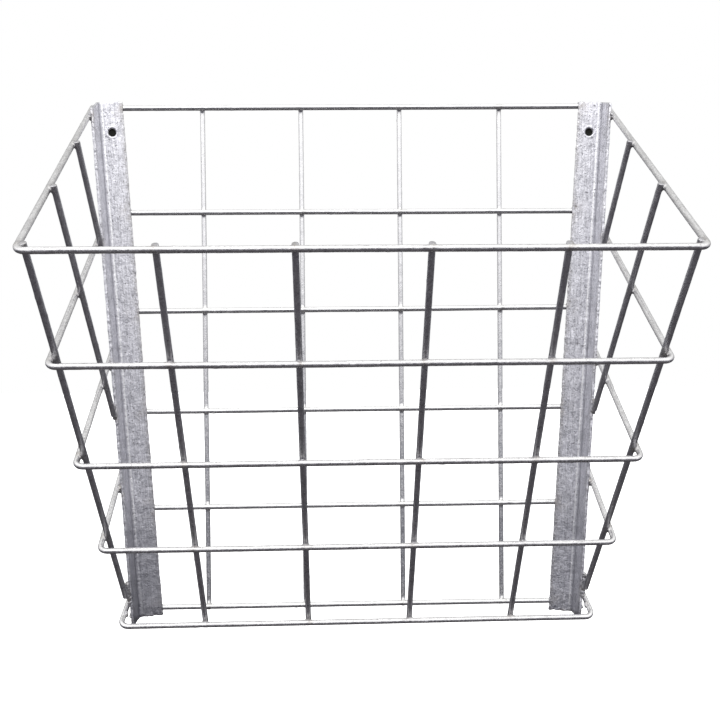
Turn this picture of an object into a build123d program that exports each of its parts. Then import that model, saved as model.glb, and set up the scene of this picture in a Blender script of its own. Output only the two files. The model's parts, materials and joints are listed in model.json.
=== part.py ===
from build123d import *
from math import cos, radians, sin, tan
import os

os.makedirs("parts", exist_ok=True)

# A wall-hung wire basket. The origin is midway between its two fixing holes, on the back face of the
# uprights' wall flanges. +X is to the right seen from the room, +Y points into the wall, +Z is up.

# Wire
wire_diameter = 5.5             # hoops, back crosswires, front, corner and side wires
back_vertical_diameter = 5.0
wire_clearance = 0.1            # between wires that are welded side by side
cut_end_radius = 0.6            # dulled edge of a sheared wire end

# Uprights: rolled angle, one flange flat to the wall, the other standing out into the room
wall_flange = 26.0
outer_flange = 29.0
angle_thickness = 3.0
angle_root_radius = 2.5
angle_toe_radius = 1.8
fixing_spacing = 480.0          # between the two fixing holes
fixing_hole_diameter = 8.5
hole_from_edge = 12.5           # from the wall flange's free edge to the hole's centre
hole_below_top = 30.5
upright_lengths = {"left": 517.5, "right": 520.0}
upright_lean = 3.65             # degrees, tops leaning outwards
corner_drops = {"left": 12.0, "right": 7.0}          # the outer flange's top edge, at its toe

# Back mesh, welded by hand at a nominal 100 mm
crosswire_left_heights = [25.2, -79.0, -178.0, -279.0, -376.5, -478.0]
crosswire_right_heights = [27.4, -79.0, -177.0, -279.0, -377.0, -479.0]
crosswire_end_gap = 2.0         # from a crosswire's end to the upright's outer face
back_vertical_places = [-151.5, -52.5, 47.5, 149.5]
back_vertical_overhang = 3.5    # past the axes of the top and bottom crosswires

# Basket: five U-shaped hoops in parallel planes that rise towards the wall, a nominal
# 100 mm apart down the sloping front
basket_slope = 33.0             # degrees, hoop planes from level and the front from upright
basket_depth = 262.0            # from the wall flanges to the top hoop's front wire
top_hoop_height = -142.5        # the top hoop's front wire
hoop_drops = [0.0, 101.0, 203.0, 303.5, 406.5]       # down the front from the top hoop
hoop_left_corners = [-250.0, -245.5, -240.8, -235.5, -231.7]
hoop_right_corners = [252.8, 246.8, 241.0, 235.2, 231.7]
hoop_bend_radius = 7.0
leg_end_gap = 6.0               # from a hoop leg's end to the wall flanges' back face
front_wire_tops = [-151.5, -50.6, 49.3, 150.7]
front_wire_feet = [-149.3, -49.2, 49.7, 149.7]
front_wire_overhang = 1.8       # past the axes of the top and bottom hoops
side_wire_overhang = 2.8

# Side wires: distance behind the front wires at the top hoop and at the upright,
# and the lowest hoop that each one crosses
side_wires = {
    "left_corner_wire": (7.1, 21.0, 4),
    "right_corner_wire": (7.1, 21.0, 4),
    "left_front_side_wire": (109.0, 117.5, 3),
    "right_front_side_wire": (109.0, 117.5, 3),
    "left_rear_side_wire": (206.0, 206.0, 2),
    "right_rear_side_wire": (206.0, 206.0, 2),
}
toe_gap = 0.4                   # from a side wire's end to the upright's toe

# Weld beads
leg_bead_radius = 4.2
wire_bead_radius = 4.0
crosswire_bead_radius = 3.8
bead_stand_off = 0.8            # a bead's centre in front of the edge that it joins

wire_radius = wire_diameter / 2
back_vertical_radius = back_vertical_diameter / 2
slope_cos = cos(radians(basket_slope))
slope_sin = sin(radians(basket_slope))
lean_tan = tan(radians(upright_lean))
lean_cos = cos(radians(upright_lean))
sides = {"left": -1, "right": 1}


def upright_outer_x(height):
    """The right upright's outer face at a height."""
    return fixing_spacing / 2 + (wall_flange - hole_from_edge) / lean_cos + height * lean_tan


def upright_inner_x(height):
    """The free edge of the right upright's wall flange at a height."""
    return upright_outer_x(height) - wall_flange / lean_cos


def basket_point(x, down, back):
    """A point by its distance down the sloping front and straight back from it."""
    y = -basket_depth + down * slope_sin + back * slope_cos
    z = top_hoop_height - down * slope_cos + back * slope_sin
    return Vector(x, y, z)


def leg_length(index):
    """From a hoop's front wire back to its leg's end, beside the upright. Hoop 1 is the top one."""
    front = basket_point(0, hoop_drops[index - 1], 0)
    return (-leg_end_gap - front.Y) / slope_cos


def leg_x(side, index, back):
    """A hoop's leg at a distance behind the front: its end touches the upright's outer face."""
    length = leg_length(index)
    end = basket_point(0, hoop_drops[index - 1], length)
    end_x = sides[side] * (upright_outer_x(end.Z) + wire_radius / lean_cos)
    corners = hoop_left_corners if side == "left" else hoop_right_corners
    front_x = corners[index - 1]
    return front_x + (end_x - front_x) * back / length


def leg_at_toe(side, index):
    """Where a hoop's leg passes the toe of the upright's outer flange."""
    down = hoop_drops[index - 1]
    back = (basket_depth - outer_flange - down * slope_sin) / slope_cos
    return basket_point(leg_x(side, index, back), down, back)


def side_wire_ends(name):
    """A side wire's top, just above the top hoop, and its end on the upright's toe."""
    side = name.split("_")[0]
    inwards = -sides[side] * (wire_diameter + wire_clearance)
    top_back, toe_back, lowest_hoop = side_wires[name]
    toe_y = -outer_flange - toe_gap - wire_radius / slope_cos
    down = (basket_depth + toe_y - toe_back * slope_cos) / slope_sin
    hoop_down = hoop_drops[lowest_hoop - 1]
    hoop_back = top_back + (toe_back - top_back) * hoop_down / down
    top_x = leg_x(side, 1, top_back) + inwards
    hoop_x = leg_x(side, lowest_hoop, hoop_back) + inwards
    toe_x = top_x + (hoop_x - top_x) * down / hoop_down
    toe = basket_point(toe_x, down, toe_back)
    at_hoop = basket_point(top_x, 0, top_back)
    top = at_hoop + (at_hoop - toe).normalized() * side_wire_overhang
    return top, toe


def cut_wire(start, end, radius):
    """A straight wire with sheared, slightly dulled ends."""
    with BuildPart() as wire:
        with BuildSketch(Plane(origin=start, z_dir=end - start)):
            Circle(radius)
        extrude(amount=(end - start).length)
        fillet(wire.edges().filter_by(GeomType.CIRCLE), radius=cut_end_radius)
    return wire


def weld_bead(centre, radius, joined, against=None):
    """A ball of weld metal, less the pieces that it joins, or cut flat where it lies against a face."""
    with BuildPart() as bead:
        with Locations(centre):
            Sphere(radius, rotation=(0, 90, 0))
        if against is not None:
            split(bisect_by=against, keep=Keep.BOTTOM)
        for piece in joined:
            add(piece.part, mode=Mode.SUBTRACT)
    return bead


def weld_group(beads):
    """Beads as one piece."""
    with BuildPart() as group:
        for bead in beads:
            add(bead.part)
    return group


def finish_piece(piece, name):
    """Labels a piece and writes it to its own file."""
    piece.part.label = name
    export_step(piece.part, f"parts/{name}.step")
    return piece


# Uprights. The section is drawn square to the leaning upright: local X points outwards,
# local Y into the wall, and the fixing hole's centre is at local X 0.
lean_axis = Vector(sin(radians(upright_lean)), 0, lean_cos)
hole_centre = Vector(fixing_spacing / 2, 0, 0)
top_plane = Plane(
    origin=hole_centre + lean_axis * hole_below_top,
    x_dir=(lean_cos, 0, -lean_axis.X),
    z_dir=lean_axis,
)
free_edge_x = -hole_from_edge
outer_face_x = wall_flange - hole_from_edge
inner_face_x = outer_face_x - angle_thickness


def long_edge_at(part, length, x, y):
    """An upright's long edge nearest to a point of its section."""
    middle = top_plane.from_local_coords(Vector(x, y, -length / 2))
    long_edges = part.edges().filter_by(lambda edge: edge.length > length / 2)
    return long_edges.sort_by_distance(middle)[0]


def upright(length, corner_drop):
    """A right-hand upright, its outer flange's top edge cut down to the toe by a drop."""
    with BuildPart() as angle:
        with BuildSketch(top_plane):
            with BuildLine():
                Polyline(
                    (free_edge_x, 0),
                    (outer_face_x, 0),
                    (outer_face_x, -outer_flange),
                    (inner_face_x, -outer_flange),
                    (inner_face_x, -angle_thickness),
                    (free_edge_x, -angle_thickness),
                    close=True,
                )
            make_face()
        extrude(amount=-length)
        root = long_edge_at(angle, length, inner_face_x, -angle_thickness)
        fillet(root, radius=angle_root_radius)
        toes = [
            long_edge_at(angle, length, free_edge_x, -angle_thickness),
            long_edge_at(angle, length, inner_face_x, -outer_flange),
        ]
        fillet(toes, radius=angle_toe_radius)
        with BuildSketch(Plane(origin=hole_centre, z_dir=(0, 1, 0))):
            Circle(fixing_hole_diameter / 2)
        extrude(amount=angle_thickness, both=True, mode=Mode.SUBTRACT)
        corner_plane = Plane(
            origin=top_plane.from_local_coords(Vector(outer_face_x, 0, 0)),
            x_dir=(0, -1, 0),
            z_dir=top_plane.x_dir,
        )
        with BuildSketch(corner_plane):
            with BuildLine():
                Polyline(
                    (angle_thickness, 0),
                    (outer_flange + 1, corner_drop * (outer_flange + 1) / outer_flange),
                    (outer_flange + 1, -1),
                    (angle_thickness, -1),
                    close=True,
                )
            make_face()
        extrude(amount=wall_flange, both=True, mode=Mode.SUBTRACT)
    return angle


with BuildPart() as left_upright:
    mirror(upright(upright_lengths["left"], corner_drops["left"]).part, about=Plane.YZ)
right_upright = upright(upright_lengths["right"], corner_drops["right"])
uprights = {
    "left": finish_piece(left_upright, "left_upright"),
    "right": finish_piece(right_upright, "right_upright"),
}

# Back mesh: crosswires welded across the backs of the wall flanges, verticals behind them
crosswires = []
for row, heights in enumerate(zip(crosswire_left_heights, crosswire_right_heights), start=1):
    left_x, right_x = (upright_outer_x(height) - crosswire_end_gap for height in heights)
    start = Vector(-left_x, wire_radius, heights[0])
    end = Vector(right_x, wire_radius, heights[1])
    crosswires.append(finish_piece(cut_wire(start, end, wire_radius), f"back_crosswire_{row}"))

for column, x in enumerate(back_vertical_places, start=1):
    y = wire_diameter + back_vertical_radius
    start = Vector(x, y, crosswire_right_heights[-1] - back_vertical_overhang)
    end = Vector(x, y, crosswire_left_heights[0] + back_vertical_overhang)
    finish_piece(cut_wire(start, end, back_vertical_radius), f"back_vertical_wire_{column}")

# Hoops, each bent from one wire: a front wire and two legs that run back to the uprights
hoops = []
for index, down in enumerate(hoop_drops, start=1):
    hoop_plane = Plane(
        origin=basket_point(0, down, 0),
        x_dir=(1, 0, 0),
        z_dir=(0, -slope_sin, slope_cos),
    )
    length = leg_length(index)
    with BuildPart() as hoop:
        with BuildLine(hoop_plane) as path:
            FilletPolyline(
                (leg_x("left", index, length), length),
                (leg_x("left", index, 0), 0),
                (leg_x("right", index, 0), 0),
                (leg_x("right", index, length), length),
                radius=hoop_bend_radius,
            )
        with BuildSketch(Plane(origin=path.line @ 0, z_dir=path.line % 0)):
            Circle(wire_radius)
        sweep()
    hoops.append(finish_piece(hoop, f"hoop_{index}"))

# Front wires, inside the hoops' front wires
for column, (foot_x, top_x) in enumerate(zip(front_wire_feet, front_wire_tops), start=1):
    start = basket_point(foot_x, hoop_drops[-1] + front_wire_overhang, wire_diameter)
    end = basket_point(top_x, -front_wire_overhang, wire_diameter)
    finish_piece(cut_wire(start, end, wire_radius), f"front_wire_{column}")

# Corner and side wires, inside the hoops' legs, ending on the toes of the uprights' outer flanges
side_pieces = {}
for name in side_wires:
    top, toe = side_wire_ends(name)
    side_pieces[name] = finish_piece(cut_wire(toe, top, wire_radius), name)

# Weld beads, on the toes of the outer flanges and along the free edges of the wall flanges
for side, sign in sides.items():
    wire_names = [name for name in side_wires if name.startswith(side)]
    joined = [uprights[side], *hoops, *(side_pieces[name] for name in wire_names)]
    side_beads = []
    for index in range(1, len(hoops) + 1):
        centre = leg_at_toe(side, index) - Vector(sign * (wire_radius - 0.3), bead_stand_off, 0)
        side_beads.append(weld_bead(centre, leg_bead_radius, joined))
    for name in wire_names:
        toe = side_wire_ends(name)[1]
        toe_x = sign * (upright_outer_x(toe.Z) - angle_thickness / 2)
        centre = Vector(toe_x, -outer_flange - bead_stand_off, toe.Z)
        side_beads.append(weld_bead(centre, wire_bead_radius, joined))
    finish_piece(weld_group(side_beads), f"{side}_side_welds")

    back_beads = []
    heights = crosswire_left_heights if side == "left" else crosswire_right_heights
    for height, crosswire in zip(heights, crosswires):
        edge_x = upright_inner_x(height)
        free_edge = Plane(
            origin=(sign * edge_x, 0, height),
            x_dir=(sign * lean_axis.X, 0, lean_axis.Z),
            z_dir=(sign * lean_cos, 0, -lean_axis.X),
        )
        centre = Vector(sign * (edge_x - 1), -bead_stand_off, height)
        back_beads.append(weld_bead(centre, crosswire_bead_radius, [crosswire], free_edge))
    finish_piece(weld_group(back_beads), f"{side}_back_welds")
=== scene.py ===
import json
import random
from math import cos, radians, sin

import bmesh
import bpy
import numpy as np
from mathutils import Matrix, Vector, noise


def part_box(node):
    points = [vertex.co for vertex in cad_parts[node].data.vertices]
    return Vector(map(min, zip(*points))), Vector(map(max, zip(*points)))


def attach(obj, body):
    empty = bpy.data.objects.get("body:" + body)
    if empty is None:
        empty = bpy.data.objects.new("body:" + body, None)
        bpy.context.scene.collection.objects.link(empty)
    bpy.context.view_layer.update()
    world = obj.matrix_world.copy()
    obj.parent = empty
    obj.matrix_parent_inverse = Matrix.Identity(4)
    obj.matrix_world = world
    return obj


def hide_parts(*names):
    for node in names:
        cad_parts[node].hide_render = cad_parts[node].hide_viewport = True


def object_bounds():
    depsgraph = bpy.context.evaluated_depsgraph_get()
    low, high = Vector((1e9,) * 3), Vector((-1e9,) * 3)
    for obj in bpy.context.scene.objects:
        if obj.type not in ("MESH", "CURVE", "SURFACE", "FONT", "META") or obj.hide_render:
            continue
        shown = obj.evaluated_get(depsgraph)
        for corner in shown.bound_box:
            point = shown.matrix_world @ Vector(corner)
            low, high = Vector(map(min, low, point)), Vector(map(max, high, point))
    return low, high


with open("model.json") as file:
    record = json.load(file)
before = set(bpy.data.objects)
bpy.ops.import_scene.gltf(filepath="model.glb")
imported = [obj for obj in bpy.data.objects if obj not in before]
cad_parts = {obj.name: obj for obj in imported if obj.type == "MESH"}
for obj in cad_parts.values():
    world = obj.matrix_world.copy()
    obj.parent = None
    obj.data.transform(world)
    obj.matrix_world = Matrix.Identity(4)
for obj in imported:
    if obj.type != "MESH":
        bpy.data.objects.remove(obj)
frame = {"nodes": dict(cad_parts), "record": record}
cad_low, cad_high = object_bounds()

# A wall-hung basket of galvanised wire, in metres. The camera looks along +Y; the wall is at +Y.
MM = 0.001

# What the frame doesn't say by itself
ANGLE_THICKNESS = 3 * MM
ANGLE_ROOT_RADIUS = 2.5 * MM
ANGLE_TOE_RADIUS = 1.8 * MM
HOOP_BEND_RADIUS = 7.0 * MM
SIDES = {"left": -1, "right": 1}
SIDE_WIRE_NAMES = ("corner_wire", "front_side_wire", "rear_side_wire")

# Wire skins
RING_SIDES = 24
STATION_STEP = 1.9 * MM
FINE_STEP = 0.7 * MM             # near crossings, drips and ends
FINE_REACH = 6.5 * MM
END_DULLING = 0.5 * MM
WELD_BLEND = 3.4 * MM            # size of the fillets where wires are welded together
WELD_SINK = 1.1 * MM             # how far the side wires sank into the hoops' legs in welding
BEADS_PER_METRE = 26             # drops of zinc left on the wire
WIRE_SWAY = 0.28 * MM            # how far a wire wanders from its axis, across it
WIRE_BOW = 0.22 * MM             # and the other way
ZINC_ROOM = 0.1 * MM             # taken off a wire's radius, so that its zinc stays inside the CAD size
ZINC_SWELLS = 0.085 * MM         # height of the broad lumps in the zinc
ZINC_RIPPLES = 0.05 * MM         # height of the small ones
WELD_RIPPLES = 0.1 * MM          # what a crossing adds to the small ones
WELD_REACH = 5 * MM              # how far from a crossing its heat marks the zinc

# Lumpy solids
ANGLE_VOXEL = 0.8 * MM
WELD_VOXEL = 0.45 * MM
ZINC_IN_HOLE = 0.3 * MM
FOOT_SHADE = {"left": 0.60, "right": 0.18}      # how much painted shade darkens each upright's foot
FOOT_SHADE_HIGH, FOOT_SHADE_LOW = 120 * MM, 25 * MM      # above the foot, where it begins and is full

# Runs of weld metal, as overlapping ripples
LEG_WELD_RADIUS = 1.45 * MM
LEG_WELD_OFFSET = 2.3 * MM       # a run's distance from the leg's axis
BACK_WELD_RADIUS = 1.6 * MM
BACK_WELD_OFFSET = 2.4 * MM      # a run's distance from the crosswire's axis
TOE_WELD_PITCH = 1.6 * MM
TOE_WELD_STEPS = {"corner_wire": 11, "front_side_wire": 8, "rear_side_wire": 9}
TOE_WELD_TAILS = {"corner_wire": 5, "front_side_wire": 1, "rear_side_wire": 1}      # steps below the foot

# Camera
CAMERA_PLACE = (-28.3 * MM, -919 * MM, -207.8 * MM)
CAMERA_LENS = 45.36              # mm, on a sensor 36 mm wide
CAMERA_YAW, CAMERA_PITCH, CAMERA_ROLL = 2.08, -1.33, -0.54      # degrees


# ---------------------------------------------------------------- reading the frame

def node_points(node):
    """A CAD node's vertices as an array."""
    mesh = frame["nodes"][node].data
    points = np.empty(len(mesh.vertices) * 3)
    mesh.vertices.foreach_get("co", points)
    return points.reshape(-1, 3)


def straight_axis(node):
    """The two ends of a straight wire's axis, and its radius."""
    points = node_points(node)
    centre = (points.min(0) + points.max(0)) / 2
    along = np.linalg.svd(points - centre, full_matrices=False)[2][0]
    reach = (points - centre) @ along
    radius = np.linalg.norm(points - centre - np.outer(reach, along), axis=1).max()
    return [centre + along * reach.min(), centre + along * reach.max()], radius


def slope_of_front():
    """The unit vector down the sloping front, from the top hoop's front wire to the bottom one's."""
    top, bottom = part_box("hoop_1")[0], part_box(f"hoop_{HOOP_COUNT}")[0]
    down = Vector((0, bottom.y - top.y, bottom.z - top.z))
    return down.normalized()


def hoop_corners(index):
    """A hoop's axis: left leg's end, two front corners, right leg's end."""
    node = f"hoop_{index}"
    low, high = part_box(node)
    points = node_points(node)
    rise, back = -DOWN.z, DOWN.y          # the hoop's plane is square to the front
    front_y, front_z = low.y + HOOP_RADIUS, low.z + HOOP_RADIUS
    end_y, end_z = high.y - HOOP_RADIUS * back, high.z - HOOP_RADIUS * rise
    near_front = points[points[:, 2] < front_z + 3 * HOOP_RADIUS]
    near_end = points[points[:, 1] > high.y - 2.2 * HOOP_RADIUS * back]
    return [
        np.array((near_end[:, 0].min() + HOOP_RADIUS, end_y, end_z)),
        np.array((near_front[:, 0].min() + HOOP_RADIUS, front_y, front_z)),
        np.array((near_front[:, 0].max() - HOOP_RADIUS, front_y, front_z)),
        np.array((near_end[:, 0].max() - HOOP_RADIUS, end_y, end_z)),
    ]


def rounded(corners, radius):
    """A path of closely spaced points through the corners, with arcs at the inner ones."""
    path = [corners[0]]
    for before, corner, after in zip(corners, corners[1:], corners[2:]):
        into = (corner - before) / np.linalg.norm(corner - before)
        out = (after - corner) / np.linalg.norm(after - corner)
        turn = np.arccos(np.clip(into @ out, -1, 1))
        inset = radius * np.tan(turn / 2)
        bisector = (out - into) / np.linalg.norm(out - into)
        centre = corner + bisector * radius / cos(turn / 2)
        start = corner - into * inset - centre
        for angle in np.linspace(0, turn, 15):
            path.append(centre + start * cos(angle) + into * radius * sin(angle))
    path.append(corners[-1])
    return np.array(path)


HOOP_COUNT = sum(name.startswith("hoop_") for name in frame["nodes"])
CROSSWIRE_COUNT = sum(name.startswith("back_crosswire_") for name in frame["nodes"])
COLUMN_COUNT = sum(name.startswith("front_wire_") for name in frame["nodes"])
DOWN = slope_of_front()
HOOP_RADIUS = straight_axis("back_crosswire_1")[1]
hoop_paths = [rounded(hoop_corners(i), HOOP_BEND_RADIUS) for i in range(1, HOOP_COUNT + 1)]

straight_names = (
    [f"back_crosswire_{row}" for row in range(1, CROSSWIRE_COUNT + 1)]
    + [f"back_vertical_wire_{column}" for column in range(1, COLUMN_COUNT + 1)]
    + [f"front_wire_{column}" for column in range(1, COLUMN_COUNT + 1)]
    + [f"{side}_{name}" for name in SIDE_WIRE_NAMES for side in SIDES]
)
straight_wires = {name: straight_axis(name) for name in straight_names}
for side, flip in SIDES.items():
    for name in SIDE_WIRE_NAMES:
        ends, radius = straight_wires[f"{side}_{name}"]
        sunk = np.array((flip * WELD_SINK, 0, 0))
        straight_wires[f"{side}_{name}"] = [end + sunk for end in ends], radius

# Uprights: their lean follows from the back crosswires, which end just inside their outer faces.
# In an upright's own frame X points outwards across the wall flange, Y into the wall and Z along
# it, with the fixing hole's centre at 0. Both are handled as right-hand ones; flip is -1 on the left.
top_row, bottom_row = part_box("back_crosswire_1"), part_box(f"back_crosswire_{CROSSWIRE_COUNT}")
lean_tan = (top_row[1].x - bottom_row[1].x) / (top_row[1].z - bottom_row[1].z)
lean_cos = 1 / (1 + lean_tan ** 2) ** 0.5
lean_sin = lean_tan * lean_cos
fixings = next(mount["dims"] for mount in frame["record"]["mounts"] if mount["name"] == "wall_fixings")
fixing_x = fixings["spacing_x_mm"] / 2 * MM
hole_radius = fixings["hole_r_mm"] * MM


def to_upright(points, flip):
    """World points in an upright's own frame."""
    out, up = points[:, 0] * flip - fixing_x, points[:, 2]
    return np.stack((out * lean_cos - up * lean_sin, points[:, 1], out * lean_sin + up * lean_cos), axis=1)


def from_upright(points, flip):
    """Points in an upright's own frame as world points."""
    out, along = points[:, 0], points[:, 2]
    x = fixing_x + out * lean_cos + along * lean_sin
    return np.stack((flip * x, points[:, 1], along * lean_cos - out * lean_sin), axis=1)


def upright_size(side):
    """An upright's box in its own frame, and the height of its outer flange's cut-down toe."""
    points = to_upright(node_points(f"{side}_upright"), SIDES[side])
    low, high = points.min(0), points.max(0)
    toe_top = points[points[:, 1] < low[1] + 0.1 * MM][:, 2].max()
    return low, high, toe_top


UPRIGHT_LOW, UPRIGHT_HIGH, _ = upright_size("right")
OUTER_FLANGE = -UPRIGHT_LOW[1]


def upright_outer_x(height):
    """The right upright's outer face at a height."""
    return fixing_x + UPRIGHT_HIGH[0] / lean_cos + height * lean_tan


def upright_inner_x(height):
    """The free edge of the right upright's wall flange at a height."""
    return fixing_x + UPRIGHT_LOW[0] / lean_cos + height * lean_tan


# ---------------------------------------------------------------- mesh helpers

def lumps(points, size, seed):
    """Smooth noise from -1 to 1 at each point. size is the width of a lump."""
    shift = Vector((seed * 7.31, seed * 3.77, seed * 5.13))
    return np.array([noise.noise(Vector(p) / size + shift) for p in points])


def distance_to(points, start, end):
    """Each point's distance from the straight line between start and end."""
    along = end - start
    share = np.clip((points - start) @ along / (along @ along), 0, 1)
    return np.linalg.norm(points - start - np.outer(share, along), axis=1)


def make_piece(name, node, points, faces, grain, weld, material):
    """A finished mesh that stands for a CAD node, with what its material reads."""
    low, high = np.array(cad_low), np.array(cad_high)
    mesh = bpy.data.meshes.new(name)
    mesh.from_pydata(np.clip(points, low, high).tolist(), [], faces)
    mesh.attributes.new("grain", "FLOAT_VECTOR", "POINT").data.foreach_set("vector", grain.ravel())
    mesh.attributes.new("weld", "FLOAT", "POINT").data.foreach_set("value", weld)
    mesh.polygons.foreach_set("use_smooth", [True] * len(mesh.polygons))
    mesh.set_sharp_from_angle(angle=radians(52))
    mesh.materials.append(material)
    mesh.update()
    piece = bpy.data.objects.new(name, mesh)
    bpy.context.scene.collection.objects.link(piece)
    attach(piece, "root")
    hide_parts(node)
    return piece


def all_axes():
    """Every straight run of wire: its owner, its two ends and its radius."""
    runs = []
    for name, (ends, radius) in straight_wires.items():
        runs.append((name, ends[0], ends[1], radius))
    for index in range(1, HOOP_COUNT + 1):
        corners = hoop_corners(index)
        for start, end in zip(corners, corners[1:]):
            runs.append((f"hoop_{index}", start, end, HOOP_RADIUS))
    return runs


wire_axes = all_axes()


def path_points(path, distances):
    """Points at these distances along a path, and the path's direction at each."""
    steps = np.linalg.norm(np.diff(path, axis=0), axis=1)
    marks = np.concatenate(([0], np.cumsum(steps)))
    at = np.stack([np.interp(distances, marks, path[:, i]) for i in range(3)], axis=1)
    ahead = np.stack([np.interp(distances + 0.2 * MM, marks, path[:, i]) for i in range(3)], axis=1)
    behind = np.stack([np.interp(distances - 0.2 * MM, marks, path[:, i]) for i in range(3)], axis=1)
    along = ahead - behind
    return at, along / np.linalg.norm(along, axis=1)[:, None]


def crossings(name, path, radius, length):
    """Where other wires touch this one: each one's distance along the path, and that other run."""
    marks = np.arange(0, length, 1 * MM)
    at, _ = path_points(path, marks)
    found = []
    for owner, start, end, other_radius in wire_axes:
        if owner == name:
            continue
        gap = distance_to(at, start, end) - radius - other_radius
        if gap.min() < 0.8 * MM:
            found.append((marks[gap.argmin()], start, end, other_radius))
    return found


def stations(length, fine_places):
    """Distances along a wire for its rings: close together near the places given."""
    here, found = 0.0, []
    while here < length:
        found.append(here)
        near = min(abs(here - place) for place in fine_places)
        here += FINE_STEP if near < FINE_REACH else STATION_STEP
    found.append(length)
    return np.array(found)


def weld_swell(rings, outward, touching):
    """How far each ring point moves out so that this wire's surface flows into the one it touches."""
    swell = np.zeros(len(rings))
    for _, start, end, radius in touching:
        out = np.zeros(len(rings))
        for _ in range(4):
            gap = distance_to(rings + outward * out[:, None], start, end) - radius
            share = np.clip(WELD_BLEND - np.abs(gap - out), 0, None) / WELD_BLEND
            out = WELD_BLEND / 4 * share ** 2
        swell = np.maximum(swell, out)
    return swell


def zinc_beads(count, length, radius, along, angle, rng):
    """Small drops of zinc that stood on the wire when it cooled."""
    height = np.zeros(len(along))
    for _ in range(count):
        place, side = rng.uniform(0, length), rng.uniform(0, 2 * np.pi)
        size, tall = rng.uniform(0.6, 1.3) * MM, rng.uniform(0.12, 0.42) * MM
        around = (angle - side + np.pi) % (2 * np.pi) - np.pi
        away = (along - place) ** 2 / 2.2 + (around * radius) ** 2
        height += tall * np.exp(-away / size ** 2)
    return height


def wire_skin(name, path, across, radius, seed, material):
    """A galvanised wire along a path: uneven zinc, drops, weld fillets and dulled, sheared ends."""
    rng = random.Random(seed)
    length = np.linalg.norm(np.diff(path, axis=0), axis=1).sum()
    touching = crossings(name, path, radius, length)
    places = [place for place, *_ in touching]
    ends = np.array((0, 0.25, 0.5, 0.75)) * END_DULLING
    marks = stations(length - 2 * END_DULLING, [p - END_DULLING for p in places] + [0, length]) + END_DULLING
    marks = np.concatenate((ends, marks, length - ends[::-1]))
    at, along = path_points(path, marks)
    across = np.array(across) / np.linalg.norm(across)
    other = np.cross(along, across)

    wander = np.stack((marks * 7, np.full(len(marks), seed * 1.7), np.zeros(len(marks))), axis=1)
    sway = WIRE_SWAY * lumps(wander, 1, seed)
    bow = WIRE_BOW * lumps(wander + 31, 1, seed)
    at = at + across * sway[:, None] + other * bow[:, None]

    turn = np.arange(RING_SIDES) * 2 * np.pi / RING_SIDES
    outward = (np.cos(turn)[None, :, None] * across + np.sin(turn)[None, :, None] * other[:, None, :])
    outward = outward.reshape(-1, 3)
    rings = np.repeat(at, RING_SIDES, axis=0) + outward * (radius - ZINC_ROOM)
    ring_marks = np.repeat(marks, RING_SIDES)
    ring_turn = np.tile(turn, len(marks))

    grain = np.stack(
        (radius * np.cos(ring_turn), radius * np.sin(ring_turn), ring_marks + seed * 0.37), axis=1,
    )
    near = np.zeros(len(ring_marks))
    for place in places:
        near = np.maximum(near, np.exp(-((ring_marks - place) / WELD_REACH) ** 2))
    height = ZINC_SWELLS * lumps(grain, 5.5 * MM, seed + 1)
    height += (ZINC_RIPPLES + WELD_RIPPLES * near) * lumps(grain, 2.3 * MM, seed + 2)
    height += zinc_beads(int(BEADS_PER_METRE * length), length, radius, ring_marks, ring_turn, rng)
    height += weld_swell(rings, outward, touching)
    edge = np.clip(np.minimum(ring_marks, length - ring_marks) / END_DULLING, 0, 1)
    height -= END_DULLING * (1 - np.sqrt(1 - (1 - edge) ** 2))
    points = rings + outward * height[:, None]

    faces = []
    for ring in range(len(marks) - 1):
        low = ring * RING_SIDES
        for side in range(RING_SIDES):
            after = (side + 1) % RING_SIDES
            faces.append((low + side, low + after, low + RING_SIDES + after, low + RING_SIDES + side))
    faces.append(tuple(range(RING_SIDES))[::-1])
    last = (len(marks) - 1) * RING_SIDES
    faces.append(tuple(range(last, last + RING_SIDES)))
    return make_piece(f"{name}_zinc", name, points, faces, grain, near, material)


def solid_from(shape, voxel, smoothing):
    """A bmesh as one smooth closed skin of small even faces: its points, outward normals and faces."""
    mesh = bpy.data.meshes.new("shape")
    shape.to_mesh(mesh)
    shape.free()
    work = bpy.data.objects.new("shape", mesh)
    bpy.context.scene.collection.objects.link(work)
    remesh = work.modifiers.new("skin", "REMESH")
    remesh.mode = "VOXEL"
    remesh.voxel_size = voxel
    relax = work.modifiers.new("relax", "SMOOTH")
    relax.factor = 0.5
    relax.iterations = smoothing
    skin = bpy.data.meshes.new_from_object(work.evaluated_get(bpy.context.evaluated_depsgraph_get()))
    points, normals = np.empty(len(skin.vertices) * 3), np.empty(len(skin.vertices) * 3)
    skin.vertices.foreach_get("co", points)
    skin.vertices.foreach_get("normal", normals)
    faces = [tuple(polygon.vertices) for polygon in skin.polygons]
    bpy.data.objects.remove(work)
    bpy.data.meshes.remove(mesh)
    bpy.data.meshes.remove(skin)
    return points.reshape(-1, 3), normals.reshape(-1, 3), faces


# ---------------------------------------------------------------- uprights

def arc(centre, radius, start, end, count=6):
    """Points on an arc, from a start to an end angle in degrees."""
    return [
        (centre[0] + radius * cos(radians(angle)), centre[1] + radius * sin(radians(angle)))
        for angle in np.linspace(start, end, count)
    ]


def angle_section(low, high):
    """The rolled angle's outline, from its free edge round to the outer flange's toe and back."""
    free, outer, end = low[0], high[0], low[1]
    thick, root, toe = ANGLE_THICKNESS, ANGLE_ROOT_RADIUS, ANGLE_TOE_RADIUS
    inner = outer - thick
    return (
        [(free, 0), (outer, 0), (outer, end)]
        + arc((inner + toe, end + toe), toe, 270, 180)
        + arc((inner - root, -thick - root), root, 0, 90)
        + arc((free + toe, -thick + toe), toe, 90, 180)[::-1]
    )


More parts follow.
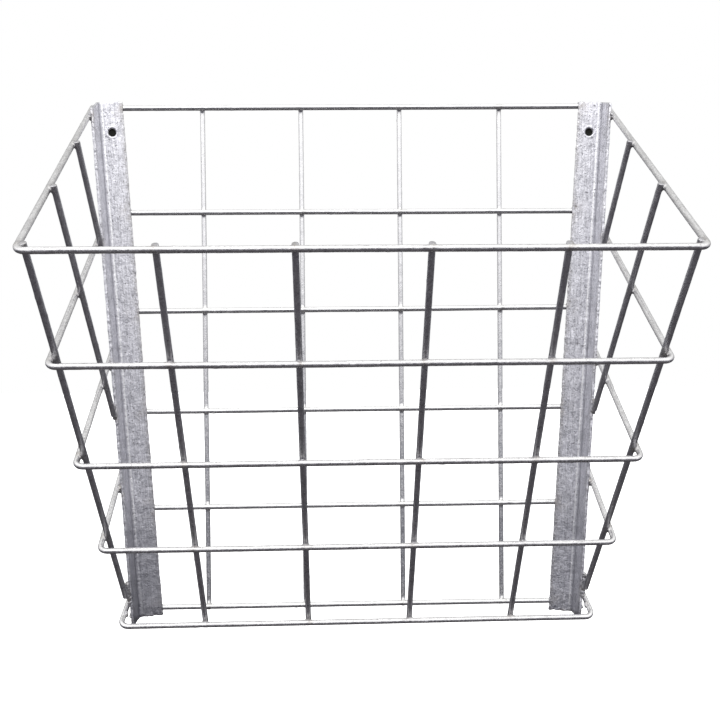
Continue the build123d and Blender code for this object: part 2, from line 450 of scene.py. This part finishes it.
def angle_solid(low, high, toe_top):
    """A plain length of angle in its own frame, its outer flange's top edge cut down to the toe."""
    shape = bmesh.new()
    face = shape.faces.new([shape.verts.new((x, y, high[2])) for x, y in angle_section(low, high)])
    made = bmesh.ops.extrude_face_region(shape, geom=[face])["geom"]
    lower = [item for item in made if isinstance(item, bmesh.types.BMVert)]
    bmesh.ops.translate(shape, verts=lower, vec=(0, 0, low[2] - high[2]))
    bmesh.ops.recalc_face_normals(shape, faces=shape.faces)
    start = Vector((0, -ANGLE_THICKNESS - 0.3 * MM, high[2]))
    fall = Vector((0, low[1], toe_top)) - start
    everything = shape.verts[:] + shape.edges[:] + shape.faces[:]
    made = bmesh.ops.bisect_plane(
        shape, geom=everything, plane_co=start, plane_no=(0, fall.z, -fall.y), clear_outer=True,
    )["geom_cut"]
    rim = [item for item in made if isinstance(item, bmesh.types.BMEdge)]
    bmesh.ops.contextual_create(shape, geom=rim)
    return shape


def hole_plug():
    """A rod through the wall flange where the fixing hole is, thinner by the zinc inside it."""
    plug = bmesh.new()
    place = Matrix.Translation((0, -ANGLE_THICKNESS / 2, 0)) @ Matrix.Rotation(radians(90), 4, "X")
    bmesh.ops.create_cone(
        plug, cap_ends=True, segments=48, radius1=hole_radius - ZINC_IN_HOLE,
        radius2=hole_radius - ZINC_IN_HOLE, depth=4 * ANGLE_THICKNESS, matrix=place,
    )
    return plug


def cut_hole(shape):
    """The angle's solid with its fixing hole, by boolean, as a new bmesh."""
    solids = []
    for part in (shape, hole_plug()):
        mesh = bpy.data.meshes.new("part")
        part.to_mesh(mesh)
        part.free()
        solids.append(bpy.data.objects.new("part", mesh))
        bpy.context.scene.collection.objects.link(solids[-1])
    cut = solids[0].modifiers.new("hole", "BOOLEAN")
    cut.operation = "DIFFERENCE"
    cut.solver = "EXACT"
    cut.object = solids[1]
    result = bmesh.new()
    result.from_object(solids[0], bpy.context.evaluated_depsgraph_get())
    for solid in solids:
        mesh = solid.data
        bpy.data.objects.remove(solid)
        bpy.data.meshes.remove(mesh)
    return result


def upright_skin(side, seed, material):
    """An upright with its zinc: rolled-in streaks, ragged edges, a raised rim round the hole."""
    flip = SIDES[side]
    low, high, toe_top = upright_size(side)
    points, normals, faces = solid_from(cut_hole(angle_solid(low, high, toe_top)), ANGLE_VOXEL, 2)
    x, y, z = points.T
    stretched = points * np.array((1, 1, 0.08))
    height = 0.10 * MM * lumps(points, 9 * MM, seed)
    height += 0.10 * MM * lumps(points, 3.2 * MM, seed + 1)
    height += 0.08 * MM * lumps(stretched, 2.4 * MM, seed + 2)
    edges = np.exp(-((x - low[0]) / (1.6 * MM)) ** 2) + np.exp(-((y - low[1]) / (1.6 * MM)) ** 2)
    height += 0.34 * MM * edges * lumps(points, 4.5 * MM, seed + 3)
    height += 0.26 * MM * edges * lumps(points, 1.9 * MM, seed + 4)
    from_hole = np.hypot(x, z)
    height += 0.30 * MM * np.exp(-((from_hole - hole_radius - 0.9 * MM) / (0.8 * MM)) ** 2)
    lower_end = np.exp(-((z - low[2]) / (3 * MM)) ** 2)
    height += 0.9 * MM * lower_end * lumps(points, 2.6 * MM, seed + 5)
    upper_end = np.exp(-((z - high[2]) / (2.5 * MM)) ** 2)
    height += 0.2 * MM * upper_end * lumps(points, 2.5 * MM, seed + 6)
    world = from_upright(points + normals * height[:, None], flip)
    if flip < 0:
        faces = [face[::-1] for face in faces]
    grain = points + np.array((0, 0, seed * 0.31))
    near = weld_nearness(world, flip)
    near = np.maximum(near, 0.8 * np.exp(-((z - low[2]) / (2.2 * MM)) ** 2))
    piece = make_piece(
        f"{side}_upright_zinc", f"{side}_upright", world, faces, grain, near, material,
    )
    # painted shade, darker towards the foot: none up high, full near the bottom end
    share = np.clip((low[2] + FOOT_SHADE_HIGH - z) / (FOOT_SHADE_HIGH - FOOT_SHADE_LOW), 0, 1)
    foot_shade = piece.data.attributes.new("foot_shade", "FLOAT", "POINT")
    foot_shade.data.foreach_set("value", FOOT_SHADE[side] * share)
    return piece


def weld_nearness(points, flip):
    """From 0 to 1, how close each point of an upright is to a weld."""
    near = np.zeros(len(points))
    for place in leg_weld_places(flip) + toe_weld_places(flip) + back_weld_places(flip):
        away = np.linalg.norm(points - place * np.array((flip, 1, 1)), axis=1)
        near = np.maximum(near, np.exp(-(away / (9 * MM)) ** 2))
    return near


# ---------------------------------------------------------------- welds

def leg_ends(index, flip):
    """A hoop leg's front corner and its end, as right-hand ones."""
    left_end, left_corner, right_corner, right_end = hoop_corners(index)
    if flip > 0:
        return right_corner, right_end
    return left_corner * np.array((-1, 1, 1)), left_end * np.array((-1, 1, 1))


def side_wire_ends(name, flip):
    """A side wire's foot, on the toe, and its top, as right-hand ones."""
    side = "right" if flip > 0 else "left"
    ends = [end * np.array((flip, 1, 1)) for end in straight_wires[f"{side}_{name}"][0]]
    return sorted(ends, key=lambda end: end[2])


def leg_weld_places(flip):
    """Where each hoop's leg passes the toe of the upright's outer flange."""
    places = []
    for index in range(1, HOOP_COUNT + 1):
        corner, end = leg_ends(index, flip)
        share = (-OUTER_FLANGE - corner[1]) / (end[1] - corner[1])
        places.append(corner + (end - corner) * share)
    return places


def toe_weld_places(flip):
    """Where each side wire ends, on the toe."""
    return [side_wire_ends(name, flip)[0] for name in SIDE_WIRE_NAMES]


def back_weld_places(flip):
    """Where each back crosswire passes the free edge of the upright's wall flange."""
    places = []
    for row in range(1, CROSSWIRE_COUNT + 1):
        ends, _ = straight_wires[f"back_crosswire_{row}"]
        end = max(ends, key=lambda point: point[0] * flip)
        places.append(np.array((upright_inner_x(end[2]), end[1], end[2])))
    return places


def weld_run(start, direction, count, radius, rng, pitch=1.5 * MM):
    """Overlapping ripples of weld metal from a start, in a direction: centres and radii."""
    ripples = []
    for step in range(count):
        shake = np.array([rng.uniform(-0.25, 0.25) * MM for _ in range(3)])
        taper = 1 - 0.3 * (step / max(count - 1, 1)) ** 2
        ripples.append((start + direction * pitch * step + shake, radius * taper * rng.uniform(0.92, 1.08)))
    return ripples


def leg_weld(index, flip, rng):
    """The fillets along one leg on the outer flange, and the lump at the toe. The lowest has none below."""
    corner, end = leg_ends(index, flip)
    place = leg_weld_places(flip)[index - 1]
    along = (end - corner) / np.linalg.norm(end - corner)
    aside = np.cross(along, np.array((1, 0, 0)))
    aside /= np.linalg.norm(aside)
    ripples = []
    runs = ((1, 9),) if index == HOOP_COUNT else ((1, 9), (-1, 6))
    for side, count in runs:
        start = place + aside * side * LEG_WELD_OFFSET
        start[0] = upright_outer_x(place[2]) + 0.2 * MM
        ripples += weld_run(start, along, count, LEG_WELD_RADIUS, rng)
    lump = place - np.array((HOOP_RADIUS * 0.8, 0.2 * MM, 0))
    ripples += weld_run(lump, np.array((0, 0.2, 1.0)), 3, 2.2 * MM, rng)
    if index < HOOP_COUNT:
        ripples += weld_run(lump, np.array((0.2, -0.2, -1.0)), 2, 2.1 * MM, rng)
    return ripples


def toe_weld(name, flip, rng):
    """The run between a side wire's last stretch and the toe, with a tail down the toe below the foot."""
    foot, head = side_wire_ends(name, flip)
    along = (head - foot) / np.linalg.norm(head - foot)
    toe_along = np.array((lean_sin, 0, lean_cos))
    toe_x = upright_outer_x(foot[2]) - ANGLE_THICKNESS / 2
    toe = np.array((toe_x, -OUTER_FLANGE, foot[2] - 1.5 * MM))
    ripples = []
    for step in range(-TOE_WELD_TAILS[name], TOE_WELD_STEPS[name]):
        reach = step * TOE_WELD_PITCH
        on_wire, on_toe = foot + along * max(reach, 0), toe + toe_along * reach
        if step < 0:
            on_wire = on_toe + np.array((2.6 * MM, -1.0 * MM, 0))
        for share in (0.3, 0.6):
            shake = np.array([rng.uniform(-0.3, 0.3) * MM for _ in range(3)])
            taper = 1 - 0.25 * step / TOE_WELD_STEPS[name] if step >= 0 else 1 + 0.08 * step
            size = rng.uniform(1.8, 2.5) * MM * taper
            ripples.append((on_toe + (on_wire - on_toe) * share + shake, size))
    return ripples


def back_weld(place, rng):
    """The runs behind the wall flange, above and below a crosswire."""
    ripples = []
    for side, count in ((1, 9), (-1, 7)):
        start = place + np.array((1.8 * MM, -1.2 * MM, side * BACK_WELD_OFFSET))
        ripples += weld_run(start, np.array((1.0, 0, 0)), count, BACK_WELD_RADIUS, rng)
    return ripples


def weld_skin(name, node, ripples, flip, seed, material):
    """Separate runs of weld metal as one lumpy piece."""
    shape = bmesh.new()
    for centre, radius in ripples:
        place = Matrix.Translation(Vector(centre * np.array((flip, 1, 1))))
        bmesh.ops.create_icosphere(shape, subdivisions=2, radius=radius, matrix=place)
    points, normals, faces = solid_from(shape, WELD_VOXEL, 2)
    height = 0.22 * MM * lumps(points, 2.6 * MM, seed) + 0.10 * MM * lumps(points, 1.2 * MM, seed + 1)
    points = points + normals * height[:, None]
    near = np.ones(len(points))
    return make_piece(name, node, points, faces, points.copy(), near, material)


# ---------------------------------------------------------------- materials

def link(tree, source, socket, target, target_socket):
    """Joins two nodes."""
    tree.links.new(source.outputs[socket], target.inputs[target_socket])


def add_noise(tree, coords, scale, detail, roughness):
    """A noise texture on these coordinates."""
    node = tree.nodes.new("ShaderNodeTexNoise")
    node.inputs["Scale"].default_value = scale
    node.inputs["Detail"].default_value = detail
    node.inputs["Roughness"].default_value = roughness
    tree.links.new(coords, node.inputs["Vector"])
    return node


def add_math(tree, operation, first, second):
    """A math node on two sockets or numbers."""
    node = tree.nodes.new("ShaderNodeMath")
    node.operation = operation
    for value, socket in zip((first, second), node.inputs):
        if isinstance(value, (int, float)):
            socket.default_value = value
        else:
            tree.links.new(value, socket)
    return node.outputs[0]


def add_range(tree, value, low, high, new_low, new_high):
    """Maps a value from one range to another, held inside it."""
    node = tree.nodes.new("ShaderNodeMapRange")
    for socket, number in zip(node.inputs[1:5], (low, high, new_low, new_high)):
        socket.default_value = number
    tree.links.new(value, node.inputs[0])
    return node.outputs[0]


def add_mix(tree, share, first, second):
    """Mixes two colours, each a socket or three numbers."""
    node = tree.nodes.new("ShaderNodeMix")
    node.data_type = "RGBA"
    tree.links.new(share, node.inputs[0])
    for value, socket in ((first, node.inputs[6]), (second, node.inputs[7])):
        if isinstance(value, tuple):
            socket.default_value = (*value, 1)
        else:
            tree.links.new(value, socket)
    return node.outputs[2]


def zinc(name, light, dark, stain, roughness, streaks, pits, bump, contrast):
    """Hot-dip zinc: cloudy tone, fine grain, drawn streaks along the piece, dark pits, staining at welds."""
    material = bpy.data.materials.new(name)
    material.use_nodes = True
    tree = material.node_tree
    surface = tree.nodes["Principled BSDF"]
    grain = tree.nodes.new("ShaderNodeAttribute")
    grain.attribute_name = "grain"
    coords = grain.outputs["Vector"]
    weld = tree.nodes.new("ShaderNodeAttribute")
    weld.attribute_name = "weld"
    stretch = tree.nodes.new("ShaderNodeMapping")
    stretch.inputs["Scale"].default_value = (1, 1, 0.10)
    tree.links.new(coords, stretch.inputs["Vector"])

    cloud = add_noise(tree, coords, 120, 4, 0.6).outputs["Fac"]
    fine = add_noise(tree, coords, 560, 3, 0.65).outputs["Fac"]
    drawn = add_noise(tree, stretch.outputs["Vector"], 700, 3, 0.6).outputs["Fac"]
    cells = tree.nodes.new("ShaderNodeTexVoronoi")
    cells.inputs["Scale"].default_value = 420
    tree.links.new(coords, cells.inputs["Vector"])
    spangle = tree.nodes.new("ShaderNodeSeparateColor")
    tree.links.new(cells.outputs["Color"], spangle.inputs[0])

    tone = add_math(tree, "MULTIPLY", cloud, 0.6)
    tone = add_math(tree, "ADD", tone, add_math(tree, "MULTIPLY", fine, 1.1))
    tone = add_math(tree, "ADD", tone, add_math(tree, "MULTIPLY", drawn, streaks))
    tone = add_math(tree, "ADD", tone, add_math(tree, "MULTIPLY", spangle.outputs[0], 0.12))
    middle = 0.85 + streaks / 2 + 0.06
    colour = add_mix(tree, add_range(tree, tone, middle - contrast, middle + contrast, 0, 1), dark, light)

    spots = add_noise(tree, coords, 480, 2, 0.5).outputs["Fac"]
    pit = add_range(tree, spots, 0.69 - 0.1 * pits, 0.75 - 0.1 * pits, 0, pits)
    dull = tuple(part * 0.38 for part in dark)
    colour = add_mix(tree, pit, colour, dull)
    fleck = add_range(tree, spots, 0.33, 0.27, 0, 0.8)
    colour = add_mix(tree, fleck, colour, (0.97, 0.97, 0.97))
    patchy = add_range(tree, cloud, 0.42, 0.66, 0, 0.85)
    near = add_math(tree, "MULTIPLY", weld.outputs["Fac"], patchy)
    colour = add_mix(tree, near, colour, stain)

    uneven = add_math(tree, "ADD", fine, cloud)
    rough = add_range(tree, uneven, 0.75, 1.25, roughness - 0.07, roughness + 0.12)
    relief = add_math(tree, "MULTIPLY", cloud, 0.6)
    relief = add_math(tree, "ADD", relief, add_math(tree, "MULTIPLY", fine, 0.7))
    relief = add_math(tree, "ADD", relief, add_math(tree, "MULTIPLY", drawn, 0.35 * streaks))
    relief = add_math(tree, "SUBTRACT", relief, add_math(tree, "MULTIPLY", pit, 0.5))
    bumps = tree.nodes.new("ShaderNodeBump")
    bumps.inputs["Strength"].default_value = bump
    bumps.inputs["Distance"].default_value = 0.45 * MM
    tree.links.new(relief, bumps.inputs["Height"])

    surface.inputs["Metallic"].default_value = 1.0
    tree.links.new(colour, surface.inputs["Base Color"])
    tree.links.new(rough, surface.inputs["Roughness"])
    link(tree, bumps, "Normal", surface, "Normal")
    return material


def between(tree, value, low, high, blur):
    """1 where a value is between two limits and 0 elsewhere, blurred at the limits."""
    above = add_range(tree, value, low - blur, low + blur, 0, 1)
    below = add_range(tree, value, high - blur, high + blur, 1, 0)
    return add_math(tree, "MULTIPLY", above, below)


def shade_angle(material):
    """Adds an upright's ragged dull free edge, a painted highlight and a painted shadow line along its root,
    and painted shade darkening its foot.
    """
    tree = material.node_tree
    surface = tree.nodes["Principled BSDF"]
    grain = tree.nodes.new("ShaderNodeAttribute")
    grain.attribute_name = "grain"
    axes = tree.nodes.new("ShaderNodeSeparateXYZ")
    tree.links.new(grain.outputs["Vector"], axes.inputs[0])
    ragged = add_noise(tree, grain.outputs["Vector"], 230, 4, 0.7).outputs["Fac"]
    across = add_math(tree, "ADD", axes.outputs["X"], add_math(tree, "MULTIPLY", ragged, 9 * MM))
    edge = float(UPRIGHT_LOW[0]) + 4.5 * MM
    root = float(UPRIGHT_HIGH[0]) - ANGLE_THICKNESS
    colour = surface.inputs["Base Color"].links[0].from_socket
    speckle = add_noise(tree, grain.outputs["Vector"], 900, 2, 0.6).outputs["Fac"]
    band = add_math(
        tree, "MULTIPLY",
        add_range(tree, across, edge + 5 * MM, edge - 1 * MM, 0, 1),
        add_range(tree, speckle, 0.40, 0.54, 0.1, 1),
    )
    colour = add_mix(tree, band, colour, (0.36, 0.35, 0.34))
    # painted highlight: a white line along the root fillet of the outer flange
    bright = between(tree, axes.outputs["X"], root - 3.3 * MM, root - 2.1 * MM, 0.3 * MM)
    colour = add_mix(tree, add_math(tree, "MULTIPLY", bright, 0.9), colour, (1.0, 1.0, 1.0))
    # painted shadow: a dark line beside the root, on the outer flange
    dark = add_math(
        tree, "MULTIPLY",
        between(tree, axes.outputs["X"], root - 1.5 * MM, root + 0.6 * MM, 0.3 * MM),
        between(tree, axes.outputs["Y"], -7.5 * MM, -3.2 * MM, 0.5 * MM),
    )
    colour = add_mix(tree, add_math(tree, "MULTIPLY", dark, 0.5), colour, (0.38, 0.38, 0.42))
    # painted shade: the upright darker towards its foot
    foot_shade = tree.nodes.new("ShaderNodeAttribute")
    foot_shade.attribute_name = "foot_shade"
    colour = add_mix(tree, foot_shade.outputs["Fac"], colour, (0.32, 0.32, 0.345))
    tree.links.new(colour, surface.inputs["Base Color"])


def hoop_zinc():
    """Bright bent wire, lumpy where the zinc ran."""
    light, dark, stain = (0.93, 0.93, 0.925), (0.50, 0.49, 0.495), (0.40, 0.37, 0.34)
    return zinc(
        "hoop_zinc", light, dark, stain, roughness=0.24, streaks=0.9, pits=0.5, bump=0.65, contrast=0.45,
    )


def vertical_zinc():
    """Duller wire of the front and sides, with long drawn streaks."""
    light, dark, stain = (0.68, 0.68, 0.70), (0.42, 0.41, 0.43), (0.37, 0.36, 0.34)
    return zinc(
        "vertical_zinc", light, dark, stain, roughness=0.34, streaks=0.7, pits=0.6, bump=0.6, contrast=0.40,
    )


def back_zinc():
    """The flat back mesh, brighter and smoother than the basket."""
    light, dark, stain = (1.0, 1.0, 0.99), (0.66, 0.66, 0.66), (0.46, 0.45, 0.43)
    return zinc(
        "back_zinc", light, dark, stain, roughness=0.20, streaks=0.8, pits=0.3, bump=0.35, contrast=0.50,
    )


def angle_zinc():
    """Rolled angle: lavender-grey, mottled, with streaks down its length and a duller free edge."""
    light, dark, stain = (0.96, 0.957, 1.0), (0.45, 0.45, 0.48), (0.36, 0.32, 0.28)
    material = zinc(
        "angle_zinc", light, dark, stain, roughness=0.34, streaks=1.1, pits=0.7, bump=0.8, contrast=0.30,
    )
    shade_angle(material)
    return material


def weld_zinc():
    """Lumpy weld metal under zinc, bright with dark pits."""
    light, dark, stain = (0.80, 0.80, 0.82), (0.36, 0.36, 0.38), (0.38, 0.36, 0.34)
    return zinc(
        "weld_zinc", light, dark, stain, roughness=0.32, streaks=0.1, pits=1.0, bump=1.0, contrast=0.30,
    )


# ---------------------------------------------------------------- camera, light and floor

def add_camera():
    """Almost square to the back mesh, in front of the basket and level with its middle."""
    yaw, pitch, roll = radians(CAMERA_YAW), radians(CAMERA_PITCH), radians(CAMERA_ROLL)
    data = bpy.data.cameras.new("camera")
    data.sensor_width = 36
    data.lens = CAMERA_LENS
    camera = bpy.data.objects.new("camera", data)
    aim = Matrix.Rotation(-yaw, 4, "Z") @ Matrix.Rotation(radians(90) + pitch, 4, "X")
    camera.matrix_world = Matrix.Translation(CAMERA_PLACE) @ aim @ Matrix.Rotation(roll, 4, "Z")
    bpy.context.scene.collection.objects.link(camera)
    bpy.context.scene.camera = camera


def add_world():
    """A white studio: bright above and in front, dim towards the floor, plain white behind."""
    world = bpy.data.worlds.new("studio")
    world.use_nodes = True
    bpy.context.scene.world = world
    tree = world.node_tree
    tree.nodes.clear()
    coords = tree.nodes.new("ShaderNodeTexCoord")
    axes = tree.nodes.new("ShaderNodeSeparateXYZ")
    tree.links.new(coords.outputs["Generated"], axes.inputs[0])
    height = add_range(tree, axes.outputs["Z"], -1, 1, 0, 1)
    ramp = tree.nodes.new("ShaderNodeValToRGB")
    tree.links.new(height, ramp.inputs[0])
    bands = (
        (0.00, (0.070, 0.067, 0.073)),
        (0.25, (0.090, 0.086, 0.096)),
        (0.33, (0.055, 0.055, 0.068)),
        (0.385, (0.095, 0.096, 0.112)),
        (0.44, (0.225, 0.227, 0.255)),
        (0.50, (0.50, 0.497, 0.522)),
        (0.60, (0.76, 0.755, 0.775)),
        (0.75, (0.95, 0.95, 0.95)),
        (1.00, (1.0, 1.0, 1.0)),
    )
    stops = ramp.color_ramp.elements
    while len(stops) < len(bands):
        stops.new(0.5)
    for stop, (place, colour) in zip(stops, bands):
        stop.position = place
        stop.color = (*colour, 1)
    facing = add_range(tree, axes.outputs["Y"], -0.6, 0.9, 1.7, 0.55)
    light = tree.nodes.new("ShaderNodeBackground")
    tree.links.new(ramp.outputs[0], light.inputs["Color"])
    tree.links.new(facing, light.inputs["Strength"])
    backdrop = tree.nodes.new("ShaderNodeBackground")
    backdrop.inputs["Color"].default_value = (1, 1, 1, 1)
    rays = tree.nodes.new("ShaderNodeLightPath")
    mix = tree.nodes.new("ShaderNodeMixShader")
    tree.links.new(rays.outputs["Is Camera Ray"], mix.inputs[0])
    tree.links.new(light.outputs[0], mix.inputs[1])
    tree.links.new(backdrop.outputs[0], mix.inputs[2])
    output = tree.nodes.new("ShaderNodeOutputWorld")
    tree.links.new(mix.outputs[0], output.inputs[0])


def add_softbox():
    """One large soft light above and in front."""
    data = bpy.data.lights.new("softbox", "AREA")
    data.size = 1.6
    data.energy = 8
    lamp = bpy.data.objects.new("softbox", data)
    lamp.location = (-0.4, -1.4, 1.6)
    aim = (cad_low + cad_high) / 2 - lamp.location
    lamp.rotation_euler = aim.to_track_quat("-Z", "Y").to_euler()
    bpy.context.scene.collection.objects.link(lamp)


def add_floor():
    """A plain pale floor, well below the hung basket."""
    mesh = bpy.data.meshes.new("floor")
    size, height = 12.0, cad_low.z - 0.45
    mesh.from_pydata(
        [(-size, -size, height), (size, -size, height), (size, size, height), (-size, size, height)],
        [], [(0, 1, 2, 3)],
    )
    material = bpy.data.materials.new("floor")
    material.use_nodes = True
    surface = material.node_tree.nodes["Principled BSDF"]
    surface.inputs["Base Color"].default_value = (0.93, 0.93, 0.93, 1)
    surface.inputs["Roughness"].default_value = 0.9
    surface.inputs["Emission Color"].default_value = (1, 1, 1, 1)
    surface.inputs["Emission Strength"].default_value = 0.55
    mesh.materials.append(material)
    floor = bpy.data.objects.new("floor", mesh)
    floor.visible_glossy = False
    floor.visible_diffuse = False
    bpy.context.scene.collection.objects.link(floor)


def add_painted_hole_shade():
    """Two small near-black discs just behind the fixing holes, seen only through them: painted shade in the
    holes.
    """
    material = bpy.data.materials.new("painted_hole_shade")
    material.use_nodes = True
    surface = material.node_tree.nodes["Principled BSDF"]
    # painted shade: the near-black colour seen through the holes
    surface.inputs["Base Color"].default_value = (0.030, 0.031, 0.027, 1)
    surface.inputs["Roughness"].default_value = 1.0
    surface.inputs["Specular IOR Level"].default_value = 0.0
    for side, flip in SIDES.items():
        disc = bmesh.new()
        place = Matrix.Translation((flip * fixing_x, 0.2 * MM, 0)) @ Matrix.Rotation(radians(90), 4, "X")
        bmesh.ops.create_circle(disc, cap_ends=True, segments=40, radius=hole_radius + 0.6 * MM, matrix=place)
        mesh = bpy.data.meshes.new(f"{side}_hole_shade_patch")
        disc.to_mesh(mesh)
        disc.free()
        mesh.materials.append(material)
        patch = bpy.data.objects.new(f"{side}_hole_shade_patch", mesh)
        patch.visible_glossy = False
        patch.visible_diffuse = False
        bpy.context.scene.collection.objects.link(patch)


# ---------------------------------------------------------------- the object

def make_wires():
    """Every wire's skin: hoops, back mesh, front and side wires."""
    hoop_material, vertical_material, back_material = hoop_zinc(), vertical_zinc(), back_zinc()
    for index, path in enumerate(hoop_paths, start=1):
        across = np.array((0, DOWN.y, DOWN.z))
        wire_skin(f"hoop_{index}", path, across, HOOP_RADIUS, index, hoop_material)
    for seed, (name, (ends, radius)) in enumerate(straight_wires.items(), start=20):
        along = ends[1] - ends[0]
        across = np.cross(along, (0, 1, 0)) if abs(along[0]) > abs(along[2]) else np.cross(along, (1, 0, 0))
        material = back_material if name.startswith("back_") else vertical_material
        wire_skin(name, np.array(ends), across, radius, seed, material)


def make_uprights():
    """Both uprights."""
    material = angle_zinc()
    for seed, side in enumerate(SIDES, start=60):
        upright_skin(side, seed, material)


def make_welds():
    """The weld runs on both sides: on the outer flanges and their toes, and along the wall flanges."""
    material = weld_zinc()
    for seed, (side, flip) in enumerate(SIDES.items(), start=80):
        rng = random.Random(seed)
        ripples = []
        for index in range(1, HOOP_COUNT + 1):
            ripples += leg_weld(index, flip, rng)
        for name in SIDE_WIRE_NAMES:
            ripples += toe_weld(name, flip, rng)
        weld_skin(f"{side}_side_weld_runs", f"{side}_side_welds", ripples, flip, seed, material)
        ripples = []
        for place in back_weld_places(flip):
            ripples += back_weld(place, rng)
        weld_skin(f"{side}_back_weld_runs", f"{side}_back_welds", ripples, flip, seed + 5, material)


bpy.context.scene.view_settings.view_transform = "Standard"
add_camera()
add_world()
add_softbox()
add_floor()
add_painted_hole_shade()
make_wires()
make_uprights()
make_welds()
